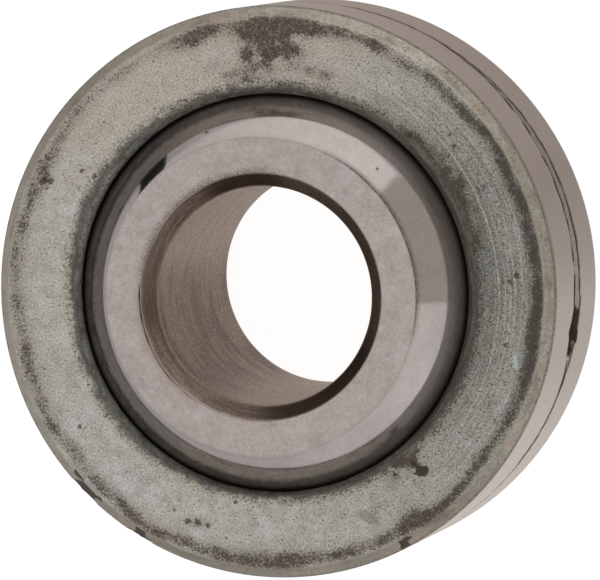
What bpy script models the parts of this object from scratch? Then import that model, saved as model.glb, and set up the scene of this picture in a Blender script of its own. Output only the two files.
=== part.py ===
"""Spherical plain bearing: a bored steel ball that swivels in a one-piece ring swaged round it.

The bearing's axis is +Z, its front faces +Z and the ball's centre is the origin. The bearing
stands on the ball's lower face, because the ball is wider than the ring. Lengths are in metres.
"""
import math

import bmesh
import bpy
from mathutils import Matrix

INCH = 0.0254
MM = 0.001

# Ball: its wall is measured at the middle of its width, from the bore out to the sphere
BORE_DIAMETER = 0.2500 * INCH
BALL_WALL = 0.1250 * INCH
BALL_WIDTH = 0.3430 * INCH
BORE_CHAMFER_RADIAL = 0.40 * MM
BORE_CHAMFER_AXIAL = 0.50 * MM
BALL_EDGE_BREAK = 0.07 * MM

# Ring: its wall is measured at the ball's middle, from the ball out to the ground outside.
# The middle of its width sits a little behind the ball's middle.
RING_WALL = 0.0781 * INCH
RING_WIDTH = 0.2500 * INCH
RING_SETBACK = 0.23 * MM
RUNNING_CLEARANCE = 0.06 * MM
LIP_RADIUS = 0.14 * MM
CORNER_RADIAL = 0.38 * MM
CORNER_AXIAL = 0.385 * MM

# Shallow lap left round the ring by swaging, below the ground surface, behind the ring's middle
LAP_SETBACK = 0.14 * MM
LAP_WIDTH = 0.70 * MM
LAP_DEPTH = 0.05 * MM
LAP_BACK_STEP = 0.08 * MM

# Open pit where the lap did not close
PIT_LENGTH = 1.45 * MM
PIT_WIDTH = 1.20 * MM
PIT_DEPTH = 0.28 * MM
PIT_RISE = 0.13 * MM
PIT_BEARING = math.radians(-7.7)

# Fineness of the turned surfaces
TURN_STEPS = 96
BALL_ARC_STEPS = 16
RACE_ARC_STEPS = 12
EDGE_ARC_STEPS = 2
LIP_ARC_STEPS = 4
PIT_RINGS = 8
PIT_SEGMENTS = 20
SHARP_ANGLE = math.radians(35.0)
MERGE = 1.0e-6

# Radii that follow from the bore and the walls
BORE_RADIUS = BORE_DIAMETER / 2
BALL_RADIUS = BORE_RADIUS + BALL_WALL
RACE_RADIUS = BALL_RADIUS + RUNNING_CLEARANCE
RING_RADIUS = BALL_RADIUS + RING_WALL

# Heights of the ring's two faces and of the middle of its lap, from the ball's centre
FRONT_FACE = RING_WIDTH / 2 - RING_SETBACK
BACK_FACE = -RING_WIDTH / 2 - RING_SETBACK
LAP_HEIGHT = -RING_SETBACK - LAP_SETBACK


def clear_scene():
    for obj in list(bpy.data.objects):
        bpy.data.objects.remove(obj, do_unlink=True)


def make_material(name, colour, metallic, roughness):
    material = bpy.data.materials.new(name)
    material.use_nodes = True
    shader = material.node_tree.nodes["Principled BSDF"]
    shader.inputs["Base Color"].default_value = (*colour, 1.0)
    shader.inputs["Metallic"].default_value = metallic
    shader.inputs["Roughness"].default_value = roughness
    return material


def arc(centre, radii, start, end, steps):
    """Points (radius, height) on an ellipse from the start angle to the end angle, both included."""
    points = []
    for i in range(steps + 1):
        angle = start + (end - start) * i / steps
        points.append(
            (
                centre[0] + radii[0] * math.cos(angle),
                centre[1] + radii[1] * math.sin(angle),
            )
        )
    return points


def mirrored(points):
    """The same points below the mid-plane, in reverse order."""
    return [(radius, -height) for radius, height in reversed(points)]


def turned(name, profile, material):
    """One solid of revolution about Z from a closed profile of (radius, height) points.

    The profile runs down its outer side, so that the faces point outwards.
    """
    mesh = bpy.data.meshes.new(name)
    edges = [(i, (i + 1) % len(profile)) for i in range(len(profile))]
    mesh.from_pydata([(radius, 0.0, height) for radius, height in profile], edges, [])
    obj = bpy.data.objects.new(name, mesh)
    bpy.context.scene.collection.objects.link(obj)
    screw = obj.modifiers.new("Turn", "SCREW")
    screw.axis = "Z"
    screw.angle = math.radians(360.0)
    screw.steps = TURN_STEPS
    screw.render_steps = TURN_STEPS
    screw.use_merge_vertices = True
    screw.merge_threshold = MERGE
    screw.use_smooth_shade = True
    mesh.materials.append(material)
    return obj


def ball_profile():
    """Half of the ball from its bore to its equator, then the same mirrored.

    The sphere is cut by two flat faces, its rim is broken by a small round, and the bore opens
    through a chamfer at each end.
    """
    half_width = BALL_WIDTH / 2
    # The round of the rim touches the sphere from inside and the flat face from below.
    break_height = half_width - BALL_EDGE_BREAK
    break_radius = math.sqrt((BALL_RADIUS - BALL_EDGE_BREAK) ** 2 - break_height**2)
    touch = math.atan2(break_height, break_radius)
    rim = arc(
        (break_radius, break_height),
        (BALL_EDGE_BREAK, BALL_EDGE_BREAK),
        math.radians(90.0),
        touch,
        EDGE_ARC_STEPS,
    )
    zone = arc((0.0, 0.0), (BALL_RADIUS, BALL_RADIUS), touch, -touch, BALL_ARC_STEPS)
    bore_end = [
        (BORE_RADIUS, half_width - BORE_CHAMFER_AXIAL),
        (BORE_RADIUS + BORE_CHAMFER_RADIAL, half_width),
    ]
    return bore_end + rim + zone[1:-1] + mirrored(rim) + mirrored(bore_end)


def ring_end(face_height):
    """One end of the ring, from the race out: rounded lip, flat face, chamfered corner.

    Also the angle at which the lip's round meets the race, seen from the ball's centre.
    """
    height = face_height - LIP_RADIUS
    radius = math.sqrt((RACE_RADIUS + LIP_RADIUS) ** 2 - height**2)
    touch = math.atan2(height, radius)
    points = arc(
        (radius, height),
        (LIP_RADIUS, LIP_RADIUS),
        touch + math.pi,
        math.radians(90.0),
        LIP_ARC_STEPS,
    )
    points.append((RING_RADIUS - CORNER_RADIAL, face_height))
    points.append((RING_RADIUS, face_height - CORNER_AXIAL))
    return points, touch


def lap_points():
    """Down the outside across the lap: a slow fall from the front and a short step at the back."""
    top = LAP_HEIGHT + LAP_WIDTH / 2
    bottom = LAP_HEIGHT - LAP_WIDTH / 2
    return [
        (RING_RADIUS, top),
        (RING_RADIUS - LAP_DEPTH, bottom + 2 * LAP_BACK_STEP),
        (RING_RADIUS - LAP_DEPTH, bottom + LAP_BACK_STEP),
        (RING_RADIUS, bottom),
    ]


def ring_profile():
    """The swaged ring: spherical race between two ends, and the ground outside with its lap."""
    front, front_touch = ring_end(FRONT_FACE)
    back, back_touch = ring_end(-BACK_FACE)
    race = arc((0.0, 0.0), (RACE_RADIUS, RACE_RADIUS), -back_touch, front_touch, RACE_ARC_STEPS)
    return front + lap_points() + mirrored(back) + race[1:-1]


def pit_cutter():
    """A hidden ellipsoid, sunk to the pit's depth in the outside of the ring where the lap lies."""
    mesh = bpy.data.meshes.new("pit_cutter")
    shape = bmesh.new()
    bmesh.ops.create_uvsphere(
        shape, u_segments=PIT_SEGMENTS, v_segments=PIT_RINGS, radius=1.0
    )
    # Axes of the cutter: X outwards, Y round the ring, Z along the bearing's axis.
    bmesh.ops.scale(shape, vec=(PIT_DEPTH, PIT_LENGTH / 2, PIT_WIDTH / 2), verts=shape.verts)
    shape.to_mesh(mesh)
    shape.free()
    cutter = bpy.data.objects.new("pit_cutter", mesh)
    bpy.context.scene.collection.objects.link(cutter)
    cutter.matrix_world = (
        Matrix.Rotation(PIT_BEARING, 4, "Z")
        @ Matrix.Translation((RING_RADIUS, 0.0, LAP_HEIGHT + PIT_RISE))
    )
    cutter.hide_render = True
    cutter.display_type = "WIRE"
    return cutter


def cut(obj, cutter):
    boolean = obj.modifiers.new("Cut " + cutter.name, "BOOLEAN")
    boolean.operation = "DIFFERENCE"
    boolean.solver = "EXACT"
    boolean.object = cutter


def shade(obj):
    """Bakes the turning into the mesh, then shades it smooth but for the edges of its faces."""
    graph = bpy.context.evaluated_depsgraph_get()
    mesh = bpy.data.meshes.new_from_object(obj.evaluated_get(graph), depsgraph=graph)
    obj.modifiers.clear()
    obj.data = mesh
    mesh.name = obj.name
    mesh.shade_smooth()
    mesh.set_sharp_from_angle(angle=SHARP_ANGLE)


def build():
    clear_scene()
    zinc = make_material("zinc plated steel", (0.20, 0.185, 0.165), 0.85, 0.52)
    steel = make_material("ground bearing steel", (0.30, 0.26, 0.235), 1.0, 0.24)

    ring = turned("outer_ring", ring_profile(), zinc)
    ball = turned("inner_ring", ball_profile(), steel)
    bpy.context.view_layer.update()
    shade(ring)
    shade(ball)
    cut(ring, pit_cutter())

    # The ring swivels about an empty at the ball's centre, the bearing's centre of alignment.
    centre = bpy.data.objects.new("alignment_centre", None)
    centre.empty_display_size = RING_WIDTH
    bpy.context.scene.collection.objects.link(centre)
    ring.parent = centre
    bpy.context.view_layer.update()


build()
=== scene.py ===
"""Looks of a spherical plain bearing: a bored steel ball in a zinc plated ring swaged round it.

Shapes are worked out in millimetres, with the bearing's axis along +Z and its front facing +Z, and
go into the meshes in metres. A bearing is an angle round the axis in degrees, anticlockwise from +X.
"""

import math

import bpy
import numpy as np
from mathutils import Matrix, Vector


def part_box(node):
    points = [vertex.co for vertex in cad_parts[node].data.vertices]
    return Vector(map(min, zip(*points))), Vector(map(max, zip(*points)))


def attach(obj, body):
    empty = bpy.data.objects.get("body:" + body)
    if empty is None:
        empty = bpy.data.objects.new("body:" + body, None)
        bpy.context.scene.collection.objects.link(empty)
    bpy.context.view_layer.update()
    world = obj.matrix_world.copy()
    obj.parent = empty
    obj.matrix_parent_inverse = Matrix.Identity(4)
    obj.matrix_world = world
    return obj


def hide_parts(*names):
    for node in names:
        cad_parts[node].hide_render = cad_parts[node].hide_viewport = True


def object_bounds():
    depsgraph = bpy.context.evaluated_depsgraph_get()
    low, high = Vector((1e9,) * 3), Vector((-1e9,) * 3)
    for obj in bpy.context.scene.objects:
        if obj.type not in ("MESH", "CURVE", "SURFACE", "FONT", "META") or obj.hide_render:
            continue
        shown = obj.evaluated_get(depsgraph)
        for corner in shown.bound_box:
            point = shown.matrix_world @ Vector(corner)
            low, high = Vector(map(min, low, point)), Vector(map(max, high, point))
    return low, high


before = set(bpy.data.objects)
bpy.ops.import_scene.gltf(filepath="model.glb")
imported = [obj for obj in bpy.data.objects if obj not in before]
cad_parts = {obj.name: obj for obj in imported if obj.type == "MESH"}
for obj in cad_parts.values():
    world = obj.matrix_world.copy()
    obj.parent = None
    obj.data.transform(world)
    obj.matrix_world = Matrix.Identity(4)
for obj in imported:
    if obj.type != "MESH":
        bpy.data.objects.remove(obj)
cad_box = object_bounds()

MM = 0.001

# Sizes that the frame gives, in millimetres
RING_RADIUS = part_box("outer_ring")[1].x / MM
FRONT_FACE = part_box("outer_ring")[1].z / MM
BACK_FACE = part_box("outer_ring")[0].z / MM
BALL_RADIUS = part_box("inner_ring")[1].x / MM
BALL_HALF_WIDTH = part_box("inner_ring")[1].z / MM

# Ball
BORE_RADIUS = 3.175
BORE_CHAMFER_RADIAL = 0.40
BORE_CHAMFER_AXIAL = 0.50
CHAMFER_RADIUS = BORE_RADIUS + BORE_CHAMFER_RADIAL
BALL_EDGE_BREAK = 0.035
BALL_COLUMNS = 480

# Burr left round part of the bore's chamfer, which fades at its two bearings, and the painted highlight on
# its brim
BURR_RADIUS = 3.605
BURR_WIDTH = 0.032
BURR_DEPTH = 0.006
BURR_FROM = 172.0
BURR_TO = 240.0
BURR_FADE = 8.0
BRIM_INSIDE = 0.048
BRIM_WIDTH = 0.020

# Stretches of the ball: middle bearing, half length and fade in degrees
# The first stretch holds painted shade on the zone
SHADED_ZONE = (175.0, 42.0, 30.0)
DUSTY_FLAT = (128.0, 34.0, 22.0)
# The last stretch is where the painted shade along the rim's round is strongest
DARK_RIM = (26.0, 26.0, 20.0)

# Heights on the zone: top of its part with painted shade, then where its fine lapping begins and where it
# is full; specks on the zone: bearing, height, size
SHADED_ZONE_TOP = 4.16
LAPPING_RISE = (2.95, 3.55)
ZONE_SPECKS = ((48.0, 3.9, 0.07), (110.0, 3.9, 0.09))

# Tint of the polished steel where it is seen at a slant
BALL_EDGE_TINT = (0.78, 0.74, 0.72, 1.0)
BORE_EDGE_TINT = (0.86, 0.79, 0.76, 1.0)

# Ring. Its front lip is a quarter of an ellipse, from the radius and height where it leaves the
# race, over its reach outwards and upwards.
RUNNING_CLEARANCE = 0.06
RACE_RADIUS = BALL_RADIUS + RUNNING_CLEARANCE
BACK_LIP_RADIUS = 0.14
LIP_CONTACT = (5.79, 2.745)
LIP_REACH = (0.27, FRONT_FACE - LIP_CONTACT[1])
CORNER_RADIAL = 0.38
CORNER_AXIAL = 0.385
EDGE_ROUND = 0.05
POCK_DEPTH = 0.0025

# Columns of points round the ring, and how much closer, over how many degrees, they lie at its pit
RING_COLUMNS = 640
PIT_CROWDING = 0.8
PIT_CROWDING_REACH = 7.0

# Lap round the ring: bearing, height of its front line, height of its back line
LAP_COURSE = (
    (0, 0.04, -0.78),
    (12, 0.02, -0.80),
    (27, 0.02, -0.82),
    (45, -0.12, -0.62),
    (60, -0.22, -0.50),
    (90, -0.30, -0.46),
    (140, -0.20, -0.60),
    (180, -0.10, -0.70),
    (225, -0.30, -0.52),
    (290, -0.40, -0.54),
    (325, -0.42, -0.56),
    (338, -0.40, -0.56),
    (347, -0.12, -0.64),
    (357, 0.05, -0.80),
    (360, 0.04, -0.78),
)
LAP_LINE_DEPTH = 0.05
LAP_FLOOR_DEPTH = 0.012
FRONT_LINE_WIDTH = 0.050
BACK_LINE_WIDTH = 0.085
FRONT_SHADOW_BEHIND = 0.10
FRONT_SHADOW_WIDTH = 0.085
LAP_NARROWEST = 0.13

# Where the back line frays: bearing, reach in degrees
FRAYED_BACK_LINE = (324.0, 8.0)

# Distances of the rows of points in front of the front line, and behind the back one
LINE_ROWS = np.array([0.16, 0.12, 0.09, 0.065, 0.045, 0.025, 0.0, -0.025, -0.05])

# Open pit in the lap
PIT_BEARING = -8.3
PIT_HEIGHT = -0.24
PIT_HALF_LENGTH = 0.76
PIT_HALF_WIDTH = 0.60
PIT_DEPTH = 0.27

# How the lap opens at the pit: over how many degrees, and how far its lines move forward and back
LAP_OPENING_REACH = 4.2
LAP_OPENING_FRONT = 0.34
LAP_OPENING_BACK = 0.03

# Plating's ragged edge at the lip: bearing, mean radius
PLATING_EDGE = (
    (0, 6.05), (30, 6.05), (60, 6.03), (90, 6.00), (120, 6.04), (150, 6.15), (165, 6.14), (180, 6.07),
    (210, 6.07), (225, 6.05), (240, 5.99), (270, 5.93), (300, 6.03), (330, 6.04), (360, 6.05),
)

# Plated corner: radius of its inner edge and width of the painted highlight along it, then where that
# highlight shows and where the plating laps the outside, each by middle bearing, half length and fade in
# degrees
CORNER_RIDGE = 8.04
CORNER_HIGHLIGHT_WIDTH = 0.022
CORNER_HIGHLIGHT_STRETCH = (38.0, 38.0, 15.0)
SKIRT_STRETCH = (170.0, 74.0, 12.0)
SKIRT_DEPTH = 0.40

# Brown stain that runs round inside the outer corner: bearing, middle radius, half width, strength
STAIN_COURSE = (
    (0, 7.84, 0.24, 1.05),
    (20, 7.86, 0.22, 1.00),
    (35, 7.86, 0.20, 0.95),
    (50, 7.84, 0.18, 0.75),
    (64, 7.80, 0.20, 0.78),
    (75, 7.82, 0.25, 1.00),
    (90, 7.80, 0.30, 0.95),
    (101, 7.74, 0.22, 0.72),
    (109, 7.76, 0.30, 0.90),
    (117, 7.82, 0.22, 0.50),
    (132, 7.84, 0.22, 0.62),
    (145, 7.82, 0.26, 0.80),
    (158, 7.80, 0.28, 0.84),
    (172, 7.76, 0.30, 0.78),
    (188, 7.72, 0.31, 0.78),
    (203, 7.68, 0.31, 0.84),
    (218, 7.68, 0.28, 0.82),
    (230, 7.74, 0.28, 1.00),
    (240, 7.84, 0.25, 1.00),
    (252, 7.84, 0.26, 1.00),
    (262, 7.82, 0.29, 1.15),
    (272, 7.78, 0.32, 1.25),
    (286, 7.84, 0.26, 1.05),
    (298, 7.82, 0.25, 1.05),
    (307, 7.86, 0.28, 1.30),
    (314, 7.84, 0.22, 1.05),
    (325, 7.82, 0.20, 0.85),
    (340, 7.84, 0.22, 0.98),
    (350, 7.84, 0.25, 1.10),
    (360, 7.84, 0.24, 1.05),
)

# Brown smudges on the face: x, y, half length, half width, turn in degrees, strength
SMUDGES = (
    (-0.30, 7.62, 0.80, 0.50, 0.0, 0.85),
    (-0.62, 6.96, 0.42, 0.30, 20.0, 0.95),
    (0.02, 7.10, 0.52, 0.60, 0.0, 0.85),
    (0.75, 7.78, 0.65, 0.28, -8.0, 0.85),
    (0.62, 6.98, 0.46, 0.36, 0.0, 0.75),
    (-0.80, 6.36, 0.75, 0.26, 8.0, 0.85),
    (1.34, 6.40, 0.50, 0.20, -15.0, 0.85),
    (-2.25, 7.48, 0.42, 0.28, 15.0, 0.75),
    (-1.80, 6.60, 0.30, 0.16, 15.0, 0.50),
    (4.28, 4.42, 0.70, 0.24, -44.0, 1.10),
    (5.42, 3.02, 0.95, 0.28, -61.0, 1.15),
    (6.02, 1.62, 0.38, 0.24, -75.0, 0.90),
    (5.98, 0.60, 0.55, 0.16, -85.0, 0.60),
    (5.85, 3.70, 1.60, 0.70, -58.0, 0.42),
    (3.25, 5.60, 0.50, 0.22, -30.0, 0.35),
    (6.90, 0.50, 0.40, 0.22, -80.0, 0.40),
    (3.70, -5.20, 0.26, 0.18, 40.0, 0.55),
    (3.05, -6.20, 0.32, 0.18, 60.0, 0.55),
    (4.15, -6.35, 0.40, 0.60, 30.0, 0.35),
    (-6.85, 3.12, 0.14, 0.30, -20.0, 0.60),
    (-2.25, -6.75, 0.50, 0.18, -8.0, 0.60),
    (-6.30, -2.40, 0.60, 0.35, -60.0, 0.22),
    (-4.10, -5.40, 0.80, 0.35, -35.0, 0.20),
    (-5.60, -3.80, 0.60, 0.25, -55.0, 0.22),
    (-5.40, 4.60, 0.70, 0.30, 45.0, 0.20),
)

# Painted shade on stretches of the outer corner: bearing, strength
CORNER_SHADE = (
    (0, 0.05), (60, 0.0), (85, 0.1), (100, 0.45), (125, 0.85), (150, 0.80), (168, 0.40), (185, 0.35),
    (208, 0.30), (222, 0.60), (240, 0.95), (270, 0.80), (300, 1.00), (315, 0.90), (330, 0.25), (360, 0.05),
)

# Darker side of the plating, partly patina and partly painted shade: where it is deepest and how far
# round it reaches, in degrees; turned lines that carry a painted glint: radius, half width
PATINA_AND_SHADE_BEARING = 5.0
PATINA_AND_SHADE_REACH = 59.0
GLINTING_TURNINGS = ((6.72, 0.016), (6.90, 0.030), (7.06, 0.014), (7.20, 0.020), (7.43, 0.032), (7.52, 0.014))

# Dark specks and clusters on the face: x, y, half size
SPECKS = (
    (-3.44, 6.39, 0.055), (-3.57, 6.68, 0.05), (-3.53, 5.33, 0.05), (-5.35, 3.31, 0.11),
    (-5.74, 3.48, 0.09), (-5.56, 3.27, 0.05), (-6.68, 3.17, 0.14), (-6.92, 3.16, 0.15),
    (-6.80, 2.95, 0.07), (-5.83, 2.97, 0.06), (-5.32, 4.27, 0.05), (-5.06, 4.91, 0.05),
    (-7.02, 0.90, 0.05), (-7.39, 1.84, 0.05), (-6.88, -2.34, 0.06), (-5.82, -4.02, 0.10),
    (-5.64, -4.05, 0.05), (-2.55, -6.71, 0.12), (-2.25, -6.73, 0.13), (-1.95, -6.81, 0.10),
    (-2.97, -6.40, 0.07), (-1.41, -7.17, 0.06), (-0.68, -7.06, 0.05), (-1.10, -6.11, 0.09),
    (4.50, -5.74, 0.05), (3.65, -5.19, 0.08), (3.20, -6.14, 0.06), (6.91, -1.35, 0.09),
    (7.80, -1.39, 0.10), (6.12, -1.62, 0.06), (7.03, 0.47, 0.10), (7.24, 0.64, 0.12),
    (4.08, 4.62, 0.12), (5.38, 4.35, 0.10), (5.26, 4.70, 0.07),
)

# Bare flake, chip and oval mark on the face: x, y, half length, half width, turn in degrees
FLAKE = ((3.90, -4.66, 0.50, 0.30, -22.0), (4.16, -4.50, 0.20, 0.14, 30.0), (3.62, -4.80, 0.18, 0.20, 20.0))
CHIP = ((4.46, -5.06, 0.22, 0.17, 20.0), (4.22, -4.86, 0.17, 0.07, -42.0))
OVAL_MARK = (2.88, -6.46, 0.40, 0.20, -24.0)
PALE_SPOT = (7.20, -1.81, 0.09, 0.30, 12.0)
BLUE_SPOT = (6.52, 1.25, 0.62, 0.24, -78.0)

# Depths of the chip and the flake, and the soft edge of both
CHIP_DEPTH = 0.012
FLAKE_DEPTH = 0.006
MARK_EDGE = 0.15

# Nicks on the outer corner: bearing, half length in degrees
NICKS = ((226.0, 3.6), (240.2, 1.9), (299.0, 1.5))
NICK_DEPTH = 0.022
NICK_INNER_RADIUS = 8.08
NICK_LOWEST = FRONT_FACE - CORNER_AXIAL - 0.2

# Camera
CAMERA_EYE = Vector((46.857, 14.941, 184.749))
CAMERA_AIM = Vector((0.077, -0.123, 0.0))
CAMERA_LENS = 390.0
CAMERA_SENSOR = 36.0

# Room: its colour, then lights by direction, where each begins and is full (degrees), colour
ROOM_COLOUR = (0.95, 0.94, 0.93, 1.0)
ROOM_LIGHTS = (
    ((0.0, 1.0, 0.10), 60.0, 20.0, (1.22, 1.19, 1.17, 1.0)),
    ((0.2, -1.0, 0.10), 50.0, 20.0, (1.12, 1.08, 1.06, 1.0)),
    ((0.90, -0.45, 0.05), 45.0, 15.0, (1.15, 1.11, 1.08, 1.0)),
)
FLOOR_HALF_SIDE = 600.0
FLOOR_PALE = (0.16, 0.16, 0.16, 1.0)
FLOOR_WHITE = (1.0, 0.99, 0.98, 1.0)
FLOOR_SEEN = 0.96
FLOOR_REFLECTED = 0.66

# Dimmer part of the floor beside the object: its bearing, how far that way it begins and is full,
# the distances from the axis between which it ends, its tint
FLOOR_DIM_BEARING = 76.0
FLOOR_DIM_RISE = (1.0, 8.0)
FLOOR_DIM_END = (14.0, 22.0)
FLOOR_DIM_TINT = (0.56, 0.50, 0.47, 1.0)

# Brighter parts of the floor, as seen in the polished steel: bearing, the cosines from it between
# which it rises, its gain, and for the far one the distances between which it rises
FLOOR_BRIGHT_BEARING = -60.0
FLOOR_BRIGHT_RISE = (0.70, 0.97)
FLOOR_BRIGHT_GAIN = 0.28
FLOOR_FAR_BEARING = -18.1
FLOOR_FAR_RISE = (0.72, 0.98)
FLOOR_FAR_GAIN = 0.32
FLOOR_FAR_DISTANCE = (14.0, 30.0)

# Cards beside the object: bearing, distance, half width, bottom, top, lean of the bottom, colour,
# and for one how much of its width fades to another colour
TAN_CARD = (20.5, 40.0, 19.5, -4.3, 18.0, 0.0, (0.69, 0.642, 0.58, 1.0))
DARK_CARD = (146.0, 25.0, 2.7, -4.3, 2.0, 1.2, (0.03, 0.03, 0.03, 1.0))
BRIGHT_CARD = (97.0, 36.0, 41.0, -4.3, 30.0, 0.0, (1.36, 1.30, 1.27, 1.0), 60.0)
CARD_FADED = (0.95, 0.91, 0.89, 1.0)


def arc(centre, radii, start, end, count):
    """Points (radius, height) on an ellipse about a centre, at equal steps from start to end degrees."""
    turn = np.radians(np.linspace(start, end, count))
    return np.column_stack((centre[0] + radii[0] * np.cos(turn), centre[1] + radii[1] * np.sin(turn)))


def line(start, end, count):
    """Points (radius, height) at equal steps on a straight line."""
    return np.linspace(start, end, count)


def bend(before, corner, after, reach, count):
    """Points round a sharp corner: the parabola that touches both of its sides at the given reach."""
    before, corner, after = np.array(before), np.array(corner), np.array(after)
    start = corner + reach * (before - corner) / np.linalg.norm(before - corner)
    end = corner + reach * (after - corner) / np.linalg.norm(after - corner)
    step = np.linspace(0.0, 1.0, count)[:, None]
    return (1.0 - step) ** 2 * start + 2.0 * step * (1.0 - step) * corner + step**2 * end


def above(value, low, soft):
    """1 over low, falling smoothly to 0 over the soft width under it."""
    rise = np.clip((value - low) / soft + 1.0, 0.0, 1.0)
    return rise * rise * (3.0 - 2.0 * rise)


def below(value, high, soft):
    """1 under high, falling smoothly to 0 over the soft width over it."""
    return above(-value, -high, soft)


def window(value, low, high, soft):
    """1 between low and high, falling smoothly to 0 over the soft width outside them."""
    return above(value, low, soft) * below(value, high, soft)


def bell(away, half):
    """1 in the middle and falling off both ways: e to the minus square of distance over half width."""
    return np.exp(-((away / half) ** 2))


def off(angle, bearing):
    """Degrees from a bearing to each angle, between -180 and 180."""
    return np.degrees(np.angle(np.exp(1j * (angle - math.radians(bearing)))))


def stretch(angle, bearing, half, fade):
    """1 within half a stretch of its middle bearing, falling smoothly to 0 over the fade beside it."""
    return below(np.abs(off(angle, bearing)), half, fade)


def ripples(points, wavelength, seed, waves=28):
    """Soft noise of spread 1: a sum of plane waves of random direction, length and phase."""
    draw = np.random.default_rng(seed)
    direction = draw.normal(size=(waves, 3))
    direction /= np.linalg.norm(direction, axis=1)[:, None]
    number = 2.0 * np.pi / (wavelength * draw.uniform(0.7, 1.6, waves))
    phase = draw.uniform(0.0, 2.0 * np.pi, waves)
    total = np.zeros(points.shape[:-1])
    for wave in range(waves):
        total += np.cos(points @ (direction[wave] * number[wave]) + phase[wave])
    return total * math.sqrt(2.0 / waves)


def ovals(x, y, marks):
    """Height of the tallest of several oval cones: 1 in each one's middle, 0 on its edge, then less."""
    highest = np.full_like(x, -9.0)
    for centre_x, centre_y, half_length, half_width, turn in marks:
        cos, sin = math.cos(math.radians(turn)), math.sin(math.radians(turn))
        along = ((x - centre_x) * cos + (y - centre_y) * sin) / half_length
        across = ((y - centre_y) * cos - (x - centre_x) * sin) / half_width
        highest = np.maximum(highest, 1.0 - np.hypot(along, across))
    return highest


def bearings(count, dense_at=0.0, dense_width=1.0, gain=0.0):
    """Angles round the axis, closer together about one bearing: equal steps of the summed density."""
    fine = np.linspace(0.0, 2.0 * np.pi, 20001)
    away = np.angle(np.exp(1j * (fine - math.radians(dense_at))))
    density = 1.0 + gain * bell(away, math.radians(dense_width))
    total = np.concatenate(([0.0], np.cumsum(density[1:])))
    return np.interp(np.arange(count) * total[-1] / count, total, fine)


def turned_points(radius, height, angle, lift=0.0):
    """Each section point moved outwards by its lift, square to the section, and carried round the axis.

    The section runs clockwise, so its outward direction is its own direction turned a quarter left.
    """
    along_radius = np.roll(radius, -1, axis=0) - np.roll(radius, 1, axis=0)
    along_height = np.roll(height, -1, axis=0) - np.roll(height, 1, axis=0)
    length = np.hypot(along_radius, along_height)
    radius = radius - lift * along_height / length
    height = height + lift * along_radius / length
    return np.stack((radius * np.cos(angle), radius * np.sin(angle), height), axis=-1)


def closed_mesh(name, points, masks, second=None):
    """A ring-shaped mesh from a grid of points that closes on itself both ways, with its masks.

    The rows of faces that are marked as second take the mesh's second material.
    """
    rows, columns = points.shape[:2]
    corner = np.arange(rows * columns).reshape(rows, columns)
    below_it = np.roll(corner, -1, axis=0)
    faces = np.stack((corner, below_it, np.roll(below_it, -1, axis=1), np.roll(corner, -1, axis=1)), axis=-1)
    mesh = bpy.data.meshes.new(name)
    mesh.from_pydata((points * MM).reshape(-1, 3), [], faces.reshape(-1, 4))
    for mask, values in masks.items():
        layer = mesh.attributes.new(mask, "FLOAT", "POINT")
        layer.data.foreach_set("value", values.astype(np.float32).ravel())
    if second is not None:
        mesh.polygons.foreach_set("material_index", np.repeat(second, columns).astype(np.int32))
    mesh.shade_smooth()
    obj = bpy.data.objects.new(name, mesh)
    bpy.context.scene.collection.objects.link(obj)
    return obj


def lap_rows(angle):
    """Heights of the rows down the ground outside, and of the lap's two wandering lines.

    Each line is its course plus two ripples, drawn apart by a bell at the pit. The rows lie at set
    distances from the lines, evenly between them, and ever wider apart towards both corners.
    """
    turn = np.degrees(angle) % 360.0
    course = np.array(LAP_COURSE, float)
    place = np.stack((np.cos(angle), np.sin(angle), 0.0 * angle), axis=-1) * RING_RADIUS
    front = np.interp(turn, course[:, 0], course[:, 1]) + 0.022 * ripples(place, 1.1, 11)
    front = front + 0.018 * ripples(place, 0.3, 16)
    back = np.interp(turn, course[:, 0], course[:, 2]) + 0.022 * ripples(place, 0.9, 12)
    back = back + 0.022 * ripples(place, 0.35, 17)
    opening = bell(off(angle, PIT_BEARING), LAP_OPENING_REACH)
    front = front + LAP_OPENING_FRONT * opening
    back = np.minimum(back - LAP_OPENING_BACK * opening, front - LAP_NARROWEST)
    top = FRONT_FACE - CORNER_AXIAL - EDGE_ROUND
    bottom = BACK_FACE + CORNER_AXIAL + EDGE_ROUND
    outermost, innermost = LINE_ROWS[0], LINE_ROWS[-1]
    ease = np.linspace(0.0, 1.0, 13)[1:, None] ** 1.6
    inside = np.linspace(0.0, 1.0, 14)[1:-1, None]
    upper = front + outermost + (top - front - outermost) * ease[::-1]
    first = front + LINE_ROWS[:, None]
    middle = front + innermost + (back - front - 2.0 * innermost) * inside
    last = back - LINE_ROWS[::-1, None]
    lower = back - outermost + (bottom - back + outermost) * ease
    return np.concatenate((upper, first, middle, last, lower)), front, back


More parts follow.
